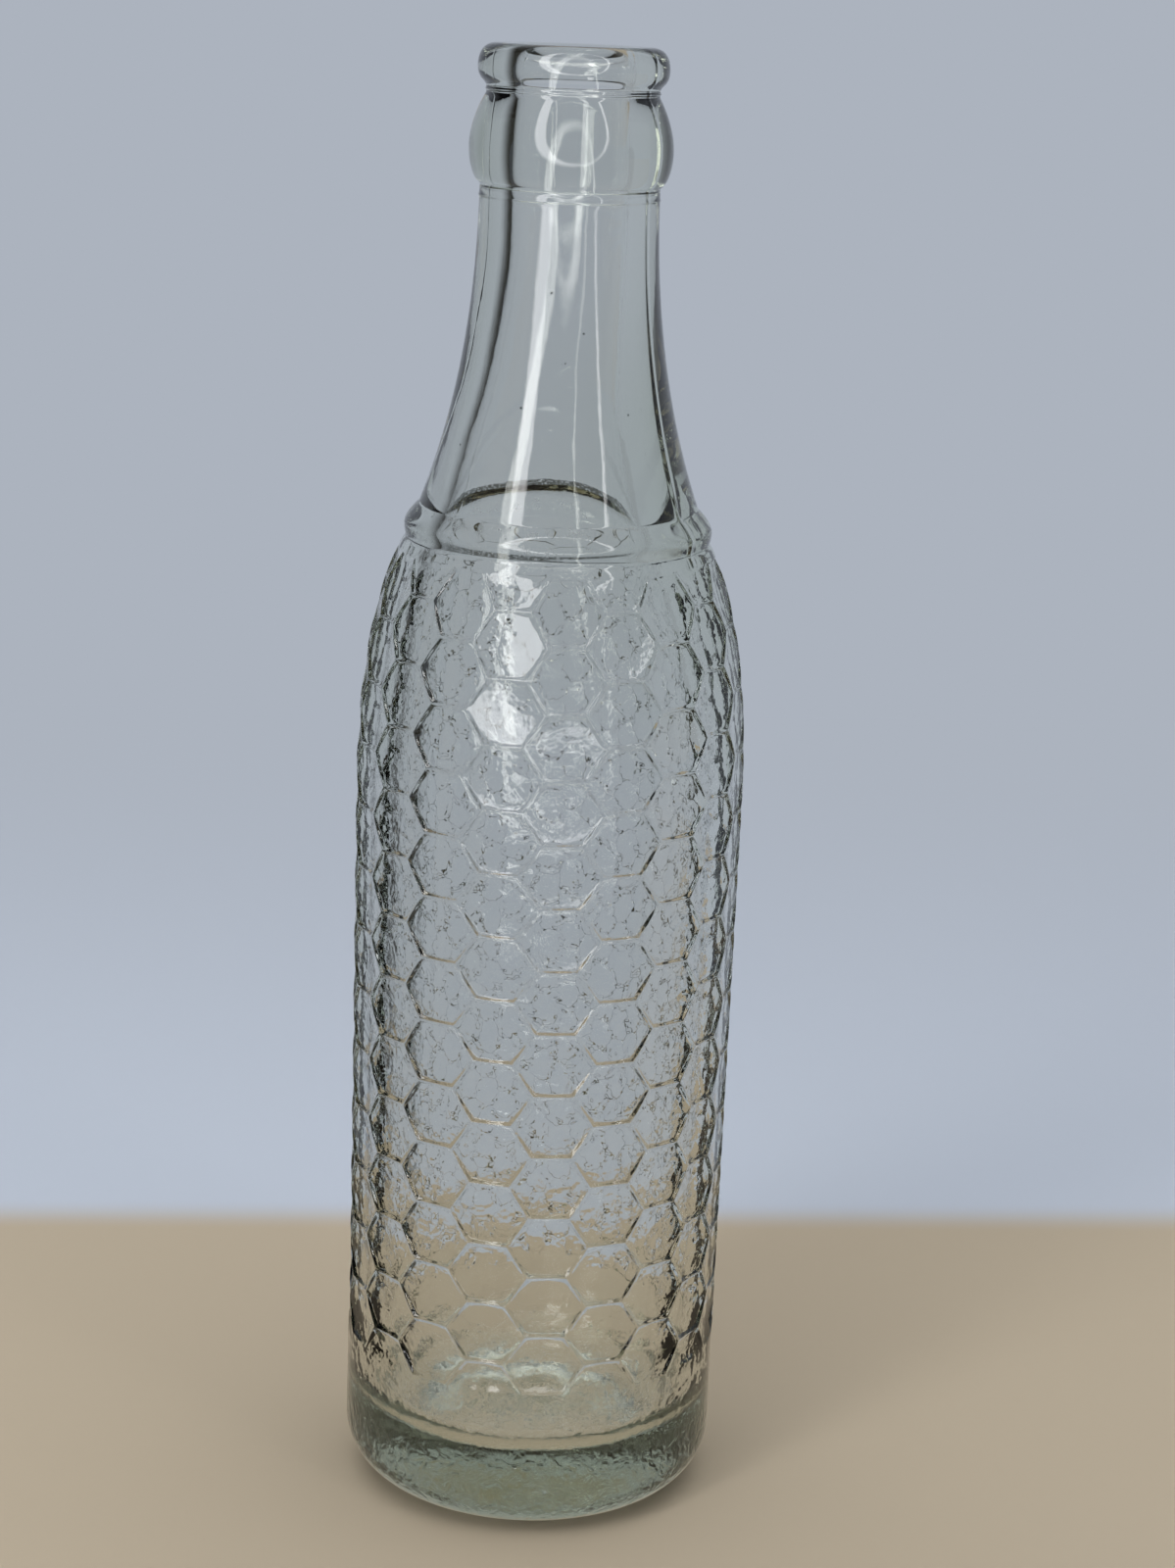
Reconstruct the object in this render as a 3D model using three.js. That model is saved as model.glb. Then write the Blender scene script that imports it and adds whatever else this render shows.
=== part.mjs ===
// Returnable soda bottle in clear pressed-and-blown glass.
// One thick wall of glass runs from the heel to the crown lip; it is built here zone by zone,
// from the floor up, and each zone takes its seat sizes from the zone below it.
// Millimetres, +Z up, standing on the XY plane with its axis on Z.
import * as THREE from 'three';

// Roundness of the turned zones and steps along each curved stretch of an outline
const turnedSides = 40;
const curveSteps = 5;

// Heel and base
const heelDiameter = 55.4;
const heelHeight = 22.9;
const heelRounding = 8;
const bearingWidth = 3.2;
const pushUpHeight = 2.6;
const baseThickness = 11.5;
const insideCorner = 5;
const insideCrown = 1.4;

// Body wall pressed with dished hexagons
const bodyDiameter = 56.4;
const bodyWall = 4.5;
const columns = 20;
const cellHeight = 9.14;
const straightRows = 9;
const shoulderRows = 4;
const dishDepth = 0.8;
const shoulderEase = 3.4;
const shoulderReach = 12.5;

// Ring on the shoulder
const ringLowerDiameter = 45.3;
const ringUpperDiameter = 40;
const ringHeight = 6.8;
const ringBulge = 0.85;
const ringWall = 5.1;

// Swept neck
const neckDiameter = 25.2;
const neckLength = 44.5;
const neckEase = 4.4;
const flareSlope = 0.48;
const flareReach = 14;
const boreEase = 18;
const boreSlope = 0.36;
const boreReach = 14;

// Collar and crown lip around the mouth
const mouthDiameter = 16.2;
const mouthRounding = 1;
const collarDiameter = 28.5;
const collarHeight = 12.6;
const collarPeak = 5.2;
const collarDraft = 4.3;
const grooveDiameter = 24;
const lipDiameter = 26.6;
const lipHeight = 6.4;
const lipPeak = 3.2;
const lipLandDiameter = 21.6;

// Heights of the seats between zones
const rows = straightRows + shoulderRows;
const straightTop = heelHeight + straightRows * cellHeight;
const ringSeat = heelHeight + rows * cellHeight;
const neckSeat = ringSeat + ringHeight;
const collarSeat = neckSeat + neckLength;
const lipSeat = collarSeat + collarHeight;
const mouthTop = lipSeat + lipHeight;

// Radii shared by neighbouring zones, outside and inside
const heelRadius = heelDiameter / 2;
const bodyRadius = bodyDiameter / 2;
const ringLowerRadius = ringLowerDiameter / 2;
const ringUpperRadius = ringUpperDiameter / 2;
const neckRadius = neckDiameter / 2;
const grooveRadius = grooveDiameter / 2;
const mouthRadius = mouthDiameter / 2;
const heelBoreRadius = heelRadius - bodyWall;
const bodyBoreRadius = bodyRadius - bodyWall;
const ringLowerBoreRadius = ringLowerRadius - ringWall;
const ringUpperBoreRadius = ringUpperRadius - ringWall;

const glass = new THREE.MeshStandardMaterial({
  name: 'clear soda-lime glass',
  color: 0xc3cccb,
  roughness: 0.04,
  metalness: 0,
  transparent: true,
  opacity: 0.4,
});

function node(name, geometry) {
  const mesh = new THREE.Mesh(geometry, glass);
  mesh.name = name;
  return mesh;
}

// A zone turned round the Z axis: the outline holds radius and height, drawn counterclockwise
function turned(name, outline) {
  const geometry = new THREE.LatheGeometry(outline.getPoints(curveSteps), turnedSides);
  geometry.rotateX(Math.PI / 2);
  return node(name, geometry);
}

// The shoulder sweeps in from the straight body to the seat of the ring
function shoulderSweep(lowRadius, highRadius) {
  return new THREE.CubicBezierCurve(
    new THREE.Vector2(lowRadius, straightTop),
    new THREE.Vector2(lowRadius, straightTop + shoulderEase),
    new THREE.Vector2(highRadius + flareSlope * shoulderReach, ringSeat - shoulderReach),
    new THREE.Vector2(highRadius, ringSeat),
  );
}

// Radius at a height on a sweep that only rises, found by halving
function radiusOnSweep(sweep, height) {
  let low = 0;
  let high = 1;
  for (let step = 0; step < 40; step += 1) {
    const middle = (low + high) / 2;
    if (sweep.getPoint(middle).y < height) low = middle;
    else high = middle;
  }
  return sweep.getPoint(high).x;
}

const outerSweep = shoulderSweep(bodyRadius, ringLowerRadius);
const innerSweep = shoulderSweep(bodyBoreRadius, ringLowerBoreRadius);

// Radius of a body surface: a slight taper below, the shoulder sweep above
function bodySurface(height, heelValue, straightValue, sweep) {
  if (height > straightTop) return radiusOnSweep(sweep, height);
  const share = (height - heelHeight) / (straightTop - heelHeight);
  return THREE.MathUtils.lerp(heelValue, straightValue, share);
}

// How deep the dish is at a point, from 0 on a ridge to 1 at the middle of a cell.
// Cells stand in columns with level top and bottom edges; every other column is half a cell lower.
function dishShare(angle, height) {
  const pitch = (2 * Math.PI) / columns;
  const halfWidth = pitch / 1.5;
  const across = angle / pitch;
  const up = (height - heelHeight) / cellHeight;
  let nearest = 1;
  for (const column of [Math.floor(across), Math.floor(across) + 1]) {
    const shift = column % 2 === 0 ? 0 : 0.5;
    const rise = Math.abs(up - shift - Math.round(up - shift));
    const side = (Math.abs(across - column) * pitch) / halfWidth;
    nearest = Math.min(nearest, Math.max(2 * rise, side + rise));
  }
  const border = Math.min(1, 4 * Math.min(up, rows - up));
  return border * (1 - nearest * nearest);
}

function heelBase() {
  const bearingOuter = heelRadius - heelRounding;
  const bearingInner = bearingOuter - bearingWidth;
  const outline = new THREE.Path();
  outline.moveTo(0, pushUpHeight);
  outline.quadraticCurveTo(bearingInner / 2, pushUpHeight, bearingInner, 0);
  outline.lineTo(bearingOuter, 0);
  outline.absarc(bearingOuter, heelRounding, heelRounding, -Math.PI / 2, 0);
  outline.lineTo(heelRadius, heelHeight);
  outline.lineTo(heelBoreRadius, heelHeight);
  outline.lineTo(heelBoreRadius, baseThickness + insideCorner);
  outline.quadraticCurveTo(heelBoreRadius, baseThickness, heelBoreRadius - insideCorner, baseThickness);
  outline.quadraticCurveTo(insideCorner, baseThickness + insideCrown, 0, baseThickness + insideCrown);
  return turned('heel_base', outline);
}

function honeycombWall() {
  const sidesAround = columns * 3;
  const rings = rows * 4;
  const points = [];
  const faces = [];
  const ringPoints = (height, turn, radiusAt) => {
    const first = points.length / 3;
    for (let side = 0; side < sidesAround; side += 1) {
      const angle = ((side + turn) * 2 * Math.PI) / sidesAround;
      const radius = radiusAt(angle, height);
      points.push(radius * Math.cos(angle), radius * Math.sin(angle), height);
    }
    return first;
  };
  const outside = (angle, height) => {
    const ridge = bodySurface(height, heelRadius, bodyRadius, outerSweep);
    return ridge - dishDepth * dishShare(angle, height);
  };
  const inside = (angle, height) => bodySurface(height, heelBoreRadius, bodyBoreRadius, innerSweep);
  const heightOf = (row) => (row === rows ? ringSeat : heelHeight + row * cellHeight);

  // Outside: rings of points a quarter of a cell apart, every other ring turned half a step
  const outer = [];
  for (let ring = 0; ring <= rings; ring += 1) {
    outer.push(ringPoints(heightOf(ring / 4), (ring % 2) / 2, outside));
  }
  for (let ring = 0; ring < rings; ring += 1) {
    for (let side = 0; side < sidesAround; side += 1) {
      const next = (side + 1) % sidesAround;
      const low = [outer[ring] + side, outer[ring] + next];
      const high = [outer[ring + 1] + side, outer[ring + 1] + next];
      if (ring % 2 === 0) faces.push(low[0], low[1], high[0], low[1], high[1], high[0]);
      else faces.push(low[0], high[1], high[0], low[0], low[1], high[1]);
    }
  }

  // Inside: smooth, with one stretch along the straight rows and a ring at each shoulder row
  const inner = [];
  for (const row of [0, ...Array.from({ length: shoulderRows + 1 }, (_, i) => straightRows + i)]) {
    inner.push(ringPoints(heightOf(row), 0, inside));
  }
  const band = (a, b) => {
    for (let side = 0; side < sidesAround; side += 1) {
      const next = (side + 1) % sidesAround;
      faces.push(a + side, b + side, a + next, a + next, b + side, b + next);
    }
  };
  for (let ring = 0; ring + 1 < inner.length; ring += 1) band(inner[ring], inner[ring + 1]);

  // Flat seats that close the wall at both ends
  band(outer[0], inner[0]);
  band(inner[inner.length - 1], outer[rings]);

  const geometry = new THREE.BufferGeometry();
  geometry.setAttribute('position', new THREE.Float32BufferAttribute(points, 3));
  geometry.setIndex(faces);
  geometry.computeVertexNormals();
  return node('honeycomb_wall', geometry);
}

function shoulderRing() {
  const rise = ringHeight / 2;
  const bulge = 2 * ringBulge;
  const middle = (ringLowerRadius + ringUpperRadius) / 2;
  const outline = new THREE.Path();
  outline.moveTo(ringLowerBoreRadius, ringSeat);
  outline.lineTo(ringLowerRadius, ringSeat);
  outline.quadraticCurveTo(middle + bulge, ringSeat + rise, ringUpperRadius, neckSeat);
  outline.lineTo(ringUpperBoreRadius, neckSeat);
  outline.closePath();
  return turned('shoulder_ring', outline);
}

function neck() {
  const outline = new THREE.Path();
  outline.moveTo(ringUpperBoreRadius, neckSeat);
  outline.lineTo(ringUpperRadius, neckSeat);
  outline.bezierCurveTo(
    ringUpperRadius - flareSlope * flareReach, neckSeat + flareReach,
    neckRadius, collarSeat - neckEase,
    neckRadius, collarSeat,
  );
  outline.lineTo(mouthRadius, collarSeat);
  outline.bezierCurveTo(
    mouthRadius, collarSeat - boreEase,
    ringUpperBoreRadius - boreSlope * boreReach, neckSeat + boreReach,
    ringUpperBoreRadius, neckSeat,
  );
  return turned('neck', outline);
}

function finishCollar() {
  const collarRadius = collarDiameter / 2;
  const peakHeight = collarSeat + collarPeak;
  const outline = new THREE.Path();
  outline.moveTo(mouthRadius, collarSeat);
  outline.lineTo(neckRadius, collarSeat);
  outline.quadraticCurveTo(collarRadius, collarSeat, collarRadius, peakHeight);
  outline.bezierCurveTo(
    collarRadius, peakHeight + collarDraft,
    grooveRadius, lipSeat - (collarHeight - collarPeak - collarDraft) / 2,
    grooveRadius, lipSeat,
  );
  outline.lineTo(mouthRadius, lipSeat);
  outline.closePath();
  return turned('finish_collar', outline);
}

function crownLip() {
  const lipRadius = lipDiameter / 2;
  const landRadius = lipLandDiameter / 2;
  const peakHeight = lipSeat + lipPeak;
  const outline = new THREE.Path();
  outline.moveTo(mouthRadius, lipSeat);
  outline.lineTo(grooveRadius, lipSeat);
  outline.quadraticCurveTo(lipRadius, lipSeat, lipRadius, peakHeight);
  outline.quadraticCurveTo(lipRadius, mouthTop, landRadius, mouthTop);
  outline.lineTo(mouthRadius + mouthRounding, mouthTop);
  outline.quadraticCurveTo(mouthRadius, mouthTop, mouthRadius, mouthTop - mouthRounding);
  outline.closePath();
  return turned('crown_lip', outline);
}

const bottle = new THREE.Group();
bottle.name = 'soda_bottle';
bottle.add(heelBase(), honeycombWall(), shoulderRing(), neck(), finishCollar(), crownLip());

export default bottle;
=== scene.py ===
# Looks of the clear glass soda bottle: one continuous wall of pressed and blown glass
import math
from bisect import bisect_left

import bmesh
import bpy
from mathutils import Matrix, Vector, noise
from mathutils.geometry import interpolate_bezier


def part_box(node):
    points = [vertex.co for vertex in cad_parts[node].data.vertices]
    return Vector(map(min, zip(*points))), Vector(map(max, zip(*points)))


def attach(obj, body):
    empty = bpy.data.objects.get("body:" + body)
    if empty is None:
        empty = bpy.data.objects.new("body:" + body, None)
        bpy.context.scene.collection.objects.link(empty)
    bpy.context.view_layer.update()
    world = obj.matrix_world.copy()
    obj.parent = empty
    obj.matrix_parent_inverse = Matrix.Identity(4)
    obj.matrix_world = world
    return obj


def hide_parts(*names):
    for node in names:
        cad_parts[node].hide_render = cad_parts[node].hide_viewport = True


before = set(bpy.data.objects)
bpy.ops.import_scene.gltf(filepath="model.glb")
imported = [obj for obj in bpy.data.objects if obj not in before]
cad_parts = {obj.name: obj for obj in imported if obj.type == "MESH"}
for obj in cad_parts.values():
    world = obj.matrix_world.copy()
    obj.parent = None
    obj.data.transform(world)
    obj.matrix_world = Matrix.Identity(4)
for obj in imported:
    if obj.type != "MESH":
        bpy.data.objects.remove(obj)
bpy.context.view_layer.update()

MM = 0.001  # the sizes below are millimetres, and Blender's are metres


def zone(node):
    """Lowest height, highest height and largest radius of a CAD zone, in millimetres."""
    low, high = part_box(node)
    return low.z / MM, high.z / MM, high.y / MM


_, HEEL_TOP, HEEL_RADIUS = zone("heel_base")
_, RING_SEAT, BODY_RADIUS = zone("honeycomb_wall")
NECK_SEAT, COLLAR_SEAT, RING_UPPER_RADIUS = zone("neck")
_, LIP_SEAT, COLLAR_RADIUS = zone("finish_collar")
_, MOUTH_TOP, LIP_RADIUS = zone("crown_lip")

# Pressed pattern: columns of level hexagons, every other column half a cell lower
COLUMNS = 20
ROWS = 13
STRAIGHT_ROWS = 9
CELL_HEIGHT = (RING_SEAT - HEEL_TOP) / ROWS
COLUMN_PITCH = 360 / COLUMNS  # degrees
CELL_HALF_WIDTH = COLUMN_PITCH / 1.5  # degrees, from the middle to the side corner
SIDE_CUTS = 3  # points added along each side of a cell
FACET_DEPTH = 0.74  # in the middle of a cell, below the corners of its rim
FACET_HOLLOW = 42  # radius that a facet is hollowed to along its height
FACET_HOLLOW_ACROSS = 80  # and the radius across it
RIM_HEIGHT = 0.27  # the raised lines between cells
RIM_SHARE = 0.085  # part of a cell, from its border in, over which the rim rises
FACET_UNEVENNESS = 0.3  # share of the depth that changed from cell to cell in the mould
PATTERN_FADE = 1.5  # height over which the cells run out at the ends of the pattern
CORNER_SHARPNESS = 14  # of the facets' outlines, which are rounded where three rims meet
CELL_LOOPS = (0.985, 0.965, 0.945, 0.925, 0.905, 0.885, 0.85, 0.6, 0.3)  # from the rim to the middle

# Walls and sweeps: those of the CAD zones, but with a heavier ring and a slimmer foot of the neck
STRAIGHT_TOP = HEEL_TOP + STRAIGHT_ROWS * CELL_HEIGHT
BODY_WALL = 4.5
RING_WALL = 6.9
RING_LOWER_RADIUS = 22.65
SHOULDER_EASE = 3.4
SHOULDER_REACH = 12.5
SHOULDER_SLOPE = 0.48
FLARE_SLOPE = 0.37
FLARE_REACH = 18
BORE_SLOPE = 0.3
BORE_REACH = 12
BORE_EASE = 24
NECK_RADIUS = 12.6
NECK_EASE = 9
MOUTH_RADIUS = 8.1
MOUTH_ROUNDING = 1.3
COLLAR_BELLY = 5  # above the collar's seat
COLLAR_FULLNESS = 2.4
GROOVE_RADIUS = 12.05
LIP_BELLY = 3.3  # above the lip's seat
LAND_RADIUS = 10.9

# Heel and base
HEEL_ROUNDING = 8
BEARING_WIDTH = 3.2
PUSH_UP = 2.6
BASE_THICKNESS = 11.5
INSIDE_CORNER = 5
INSIDE_CROWN = 1.4

# Rounded bead of the shoulder ring, and the fine seams that the mould halves left
BEAD_START = 0.6  # above the ring's seat, where the shoulder turns into the hollow under the bead
BEAD_LOW = 1.9  # the foot of the bead
BEAD_BELLY = 3.3
BEAD_HIGH = 6.45  # the crease over the bead
BEAD_FOOT_RADIUS = 21.8
BEAD_RADIUS = 22
BEAD_TOP_RADIUS = 19.95
NECK_FOOT_RADIUS = 19.8
RING_STEP = math.radians(2.6)  # closest spacing of the points round the turned surfaces
SEAT_MARGIN = 0.01  # how near to a height the points of an open ring lie
SEAM_STAND = 0.12
SEAM_HALF = 0.28
NECK_SEAM_DROP = 1.6  # below the collar
MOULD_SEAM_ANGLE = math.radians(54)  # from -Y towards +X, and again on the far side

# The blown inside is never as true as the pressed outside
INSIDE_WAVE = 0.12
INSIDE_WAVE_LENGTH = 11
BORE_DRIFT = -1.8  # how far off the axis the hollow sits at the foot of the neck
DRIFT_TOP = 186  # heights at which the drift begins, is full and ends
DRIFT_FULL = 146
DRIFT_END = 112
UNDERSIDE_WAVE = 0.3
UNDERSIDE_WAVE_LENGTH = 2.6


def linear(code):
    """A colour written as an sRGB hex value, as the linear RGBA that shaders take."""
    shares = [int(code[i:i + 2], 16) / 255 for i in (1, 3, 5)]
    return tuple(c / 12.92 if c <= 0.04045 else ((c + 0.055) / 1.055) ** 2.4 for c in shares) + (1.0,)


def add_node(tree, kind, links=(), values=(), **settings):
    """A shader node with its settings, its input values and the sockets that feed it."""
    made = tree.nodes.new(kind)
    for name, value in settings.items():
        setattr(made, name, value)
    for socket, value in dict(values).items():
        made.inputs[socket].default_value = value
    for socket, source in dict(links).items():
        tree.links.new(source, made.inputs[socket])
    return made


# Camera, placed as the photograph was taken: from a little left of the column that faces -Y
CAMERA_AZIMUTH = math.radians(-4.43)
CAMERA_DISTANCE = 0.4392
CAMERA_HEIGHT = 0.2208
CAMERA_PITCH = math.radians(14.51)
CAMERA_YAW = math.radians(0.733)
CAMERA_ROLL = math.radians(2.2)
FOCAL_PIXELS = 3171
PHOTO_HEIGHT = 1600
SENSOR = 36


def photo_camera():
    """The camera at the photograph's place, with its lens and its slight tilt."""
    data = bpy.data.cameras.new("photo_camera")
    data.sensor_width = SENSOR
    data.lens = FOCAL_PIXELS / PHOTO_HEIGHT * SENSOR
    camera = bpy.data.objects.new("photo_camera", data)
    bpy.context.scene.collection.objects.link(camera)
    aim = Matrix.Rotation(CAMERA_AZIMUTH - CAMERA_YAW, 4, "Z")
    aim = aim @ Matrix.Rotation(math.pi / 2 - CAMERA_PITCH, 4, "X") @ Matrix.Rotation(CAMERA_ROLL, 4, "Z")
    place = Matrix.Rotation(CAMERA_AZIMUTH, 4, "Z") @ Vector((0, -CAMERA_DISTANCE, CAMERA_HEIGHT))
    camera.matrix_world = Matrix.Translation(place) @ aim
    bpy.context.scene.camera = camera


def curve(start, toward, onward, end, steps):
    """Points of radius and height along a cubic curve, without its first point."""
    knots = [Vector((*point, 0)) for point in (start, toward, onward, end)]
    return [(p.x, p.y) for p in interpolate_bezier(*knots, steps + 1)][1:]


def straight(start, end, steps):
    """Points along a straight stretch, without its first point."""
    low, high = Vector(start), Vector(end)
    return [tuple(low.lerp(high, step / steps)) for step in range(1, steps + 1)]


def shoulder_sweep(low, high, steps):
    """The shoulder's curve, from the straight body in to the seat of the ring."""
    rise = (low, STRAIGHT_TOP + SHOULDER_EASE)
    lean = (high + SHOULDER_SLOPE * SHOULDER_REACH, RING_SEAT - SHOULDER_REACH)
    return curve((low, STRAIGHT_TOP), rise, lean, (high, RING_SEAT), steps)


SHOULDER = [(BODY_RADIUS, STRAIGHT_TOP)] + shoulder_sweep(BODY_RADIUS, RING_LOWER_RADIUS, 60)
SHOULDER_HEIGHTS = [height for _, height in SHOULDER]


def ridge_radius(height):
    """Radius of the ridges of the pattern at a height."""
    if height <= STRAIGHT_TOP:
        share = (height - HEEL_TOP) / (STRAIGHT_TOP - HEEL_TOP)
        return HEEL_RADIUS + (BODY_RADIUS - HEEL_RADIUS) * share
    above = min(bisect_left(SHOULDER_HEIGHTS, height), len(SHOULDER) - 1)
    (low_radius, low), (high_radius, high) = SHOULDER[above - 1:above + 1]
    return low_radius + (high_radius - low_radius) * (height - low) / (high - low)


def verts_of(geometry):
    """The vertices in what an operator made."""
    return [item for item in geometry if isinstance(item, bmesh.types.BMVert)]


def facet_depth(across, up):
    """How deep a facet lies at an angle across and a height up from its middle."""
    flat = BODY_RADIUS * (1 / math.cos(math.radians(across)) - 1)
    aside = BODY_RADIUS * math.radians(across)
    return FACET_DEPTH - flat - aside * aside / (2 * FACET_HOLLOW_ACROSS) - up * up / (2 * FACET_HOLLOW)


LEVEL_RIM_DEPTH = facet_depth(0, CELL_HEIGHT / 2) - RIM_HEIGHT
SLANTED_RIM_DEPTH = facet_depth(COLUMN_PITCH / 2, CELL_HEIGHT / 4) - RIM_HEIGHT


def cell_depth(point):
    """How deep a cell is at a point of its hexagon, whose middle is the origin."""
    across = point.x / CELL_HALF_WIDTH
    up = point.y / CELL_HEIGHT
    level = abs(2 * up)
    reach = max(level, abs(across + up), abs(across - up), 0.01)
    along = level / reach
    if along > 0.9999:
        rim = LEVEL_RIM_DEPTH * (1 - min(1, abs(2 * across / reach)) ** 2)
    else:
        rim = SLANTED_RIM_DEPTH * 4 * along * (1 - along)
    sides = (level, abs(across + up), abs(across - up))
    rounded = sum(side ** CORNER_SHARPNESS for side in sides) ** (1 / CORNER_SHARPNESS)
    share = min(1, max(0, (rounded - 1 + RIM_SHARE) / RIM_SHARE))
    rise = share * share * (3 - 2 * share)
    facet = facet_depth(point.x, point.y)
    return facet + (rim - facet) * rise


def rimmed_cell(sheet):
    """One hexagon of the unrolled pattern.

    X is degrees round the body, Y is height and Z stands out of it.
    """
    turn = Matrix.Rotation(math.pi / 2, 4, "Z")
    bmesh.ops.create_circle(sheet, cap_ends=True, radius=1, segments=6, matrix=turn)
    stretch = (CELL_HALF_WIDTH, CELL_HEIGHT / 2 / math.sin(math.pi / 3), 1)
    bmesh.ops.scale(sheet, vec=stretch, verts=sheet.verts[:])
    bmesh.ops.subdivide_edges(sheet, edges=sheet.edges[:], cuts=SIDE_CUTS)
    floor = sheet.faces[:][0]
    outer = 1
    for share in CELL_LOOPS:
        bmesh.ops.inset_individual(sheet, faces=[floor], thickness=0)
        bmesh.ops.scale(sheet, vec=(share / outer, share / outer, 1), verts=floor.verts[:])
        outer = share
    bmesh.ops.poke(sheet, faces=[floor])
    for vert in sheet.verts:
        vert.co.z = -cell_depth(vert.co)


def column_pair():
    """Two neighbouring columns of the unrolled pattern, cut level at both ends."""
    sheet = bmesh.new()
    rimmed_cell(sheet)
    cell = sheet.verts[:] + sheet.edges[:] + sheet.faces[:]
    beside = bmesh.ops.duplicate(sheet, geom=cell)["geom"]
    bmesh.ops.translate(sheet, vec=(0, CELL_HEIGHT / 2, 0), verts=verts_of(cell))
    bmesh.ops.translate(sheet, vec=(COLUMN_PITCH, 0, 0), verts=verts_of(beside))
    for geometry, copies in ((cell, ROWS - 1), (beside, ROWS)):
        bmesh.ops.spin(
            sheet, geom=geometry, dvec=(0, CELL_HEIGHT, 0), angle=0, steps=copies, use_duplicate=True
        )
    for height, way in ((0, -1), (ROWS * CELL_HEIGHT, 1)):
        everything = sheet.verts[:] + sheet.edges[:] + sheet.faces[:]
        bmesh.ops.bisect_plane(
            sheet,
            geom=everything,
            dist=1e-5,
            plane_co=(0, height, 0),
            plane_no=(0, way, 0),
            clear_outer=True,
        )
    return sheet


def wrap(sheet):
    """Rolls the unrolled columns onto the body, with the first column facing -Y."""
    for vert in sheet.verts:
        height = HEEL_TOP + vert.co.y
        ends = min(vert.co.y, ROWS * CELL_HEIGHT - vert.co.y) / PATTERN_FADE
        fade = min(1, max(0, ends))
        radius = ridge_radius(height) * (1 + vert.co.z / BODY_RADIUS * fade)
        angle = math.radians(vert.co.x - 90)
        vert.co = (radius * math.cos(angle), radius * math.sin(angle), height)


def honeycomb():
    """The pressed body wall, open at the heel and at the ring."""
    body = column_pair()
    wrap(body)
    everything = body.verts[:] + body.edges[:] + body.faces[:]
    pairs = COLUMNS // 2
    turn = 2 * math.pi * (pairs - 1) / pairs
    bmesh.ops.spin(
        body, geom=everything, axis=(0, 0, 1), angle=turn, steps=pairs - 1, use_duplicate=True
    )
    bmesh.ops.remove_doubles(body, verts=body.verts[:], dist=0.01)
    for vert in body.verts:
        ridge = ridge_radius(vert.co.z)
        flat = vert.co.xy
        depth = ridge - flat.length
        change = 1 + FACET_UNEVENNESS * noise.noise(vert.co / CELL_HEIGHT)
        flat = flat.normalized() * (ridge - depth * change)
        vert.co = (flat.x, flat.y, vert.co.z)
    return body


def seam(height, radius):
    """A fine raised line round the bottle, where two parts of the mould met."""
    return [
        (radius, height - SEAM_HALF),
        (radius + SEAM_STAND * 0.8, height - SEAM_HALF * 0.4),
        (radius + SEAM_STAND, height),
        (radius + SEAM_STAND * 0.8, height + SEAM_HALF * 0.4),
        (radius, height + SEAM_HALF),
    ]


def ring_outline():
    """The rounded bead, upright at its side, between a soft hollow below it and a crease above it."""
    start = (RING_LOWER_RADIUS - SHOULDER_SLOPE * BEAD_START, RING_SEAT + BEAD_START)
    onward = (start[0] - SHOULDER_SLOPE * BEAD_START, start[1] + BEAD_START)
    foot = (BEAD_FOOT_RADIUS, RING_SEAT + BEAD_LOW)
    belly = (BEAD_RADIUS, RING_SEAT + BEAD_BELLY)
    top = (BEAD_TOP_RADIUS, RING_SEAT + BEAD_HIGH)
    points = straight((RING_LOWER_RADIUS, RING_SEAT), start, 2)
    points += curve(start, onward, (foot[0] - 0.05, foot[1] - 0.4), foot, 7)
    points += curve(foot, (foot[0] + 0.06, foot[1] + 0.4), (BEAD_RADIUS, belly[1] - 0.6), belly, 6)
    points += curve(belly, (BEAD_RADIUS, belly[1] + 1.2), (top[0] + 0.75, top[1] - 0.8), top, 14)
    return points + straight(top, (NECK_FOOT_RADIUS, NECK_SEAT), 2)


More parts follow.
